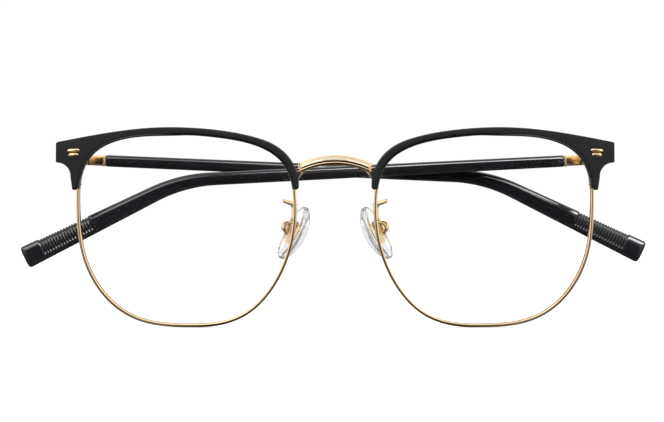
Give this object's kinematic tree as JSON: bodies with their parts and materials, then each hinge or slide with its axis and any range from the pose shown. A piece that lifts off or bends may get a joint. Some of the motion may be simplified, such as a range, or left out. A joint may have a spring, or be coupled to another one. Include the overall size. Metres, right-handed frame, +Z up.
{
  "type": "browline glasses",
  "caption": "Browline glasses with black brow caps, thin gold eyewires and bridge, clear lenses, rocking nose pads, and hinged black temples with ribbed tips, worn on nose and ears.",
  "frame": {"origin": "nose saddle: midway between the two nose pads, at their middle height", "axes": "+X to the wearer's left (the right of the front view), +Y back towards the wearer, +Z up; the front faces -Y and leans forwards at the top as worn, so that open temples run level along +Y"},
  "size_m": [0.1509, 0.0229, 0.0474],
  "materials": {
    "gold_metal": "polished light gold plating",
    "screw_metal": "gold plated screw",
    "black_matt": "fine matt black",
    "black_gloss": "polished black",
    "core_steel": "drawn wire",
    "clear_lens": "clear polished",
    "clear_soft": "clear soft plastic"
  },
  "bodies": {
    "front": {"bridge": "gold_metal", "left_lens": "clear_lens", "left_eyewire": "gold_metal", "left_brow_cap": "black_matt", "left_brow_plate": "gold_metal", "left_brow_rivets": "gold_metal", "left_closing_block": "gold_metal", "left_closing_screw": "screw_metal", "left_endpiece": "gold_metal", "left_hinge_front_leaf": "gold_metal", "left_hinge_screw": "screw_metal", "left_pad_arm": "gold_metal", "left_pad_box": "gold_metal", "left_pad_screw": "screw_metal", "right_lens": "clear_lens", "right_eyewire": "gold_metal", "right_brow_cap": "black_matt", "right_brow_plate": "gold_metal", "right_brow_rivets": "gold_metal", "right_closing_block": "gold_metal", "right_closing_screw": "screw_metal", "right_endpiece": "gold_metal", "right_hinge_front_leaf": "gold_metal", "right_hinge_screw": "screw_metal", "right_pad_arm": "gold_metal", "right_pad_box": "gold_metal", "right_pad_screw": "screw_metal"},
    "left_temple": {"left_temple": "black_gloss", "left_core_wire": "core_steel", "left_ferrule": "gold_metal", "left_hinge_temple_leaf": "gold_metal"},
    "right_temple": {"right_temple": "black_gloss", "right_core_wire": "core_steel", "right_ferrule": "gold_metal", "right_hinge_temple_leaf": "gold_metal"},
    "left_pad": {"left_nose_pad": "clear_soft", "left_pad_insert": "gold_metal"},
    "right_pad": {"right_nose_pad": "clear_soft", "right_pad_insert": "gold_metal"}
  },
  "joints": [
    {"name": "left_temple_fold", "type": "hinge", "parent": "front", "child": "left_temple", "pos_m": [0.0613, 0.0022, 0.0176], "axis": [0.0515, 0, -0.9987], "range_deg": [0, 93.5]},
    {"name": "right_temple_fold", "type": "hinge", "parent": "front", "child": "right_temple", "pos_m": [-0.0613, 0.0022, 0.0176], "axis": [0.0427, 0, 0.9991], "range_deg": [0, 90]},
    {"name": "left_pad_rock", "type": "hinge", "parent": "front", "child": "left_pad", "pos_m": [0.01102, -0.00089, 0.00131], "axis": [-0.4617, -0.0773, 0.8836], "range_deg": [-10, 10]},
    {"name": "right_pad_rock", "type": "hinge", "parent": "front", "child": "right_pad", "pos_m": [-0.01102, -0.00089, 0.00131], "axis": [0.4617, -0.0773, 0.8836], "range_deg": [-10, 10]}
  ]
}
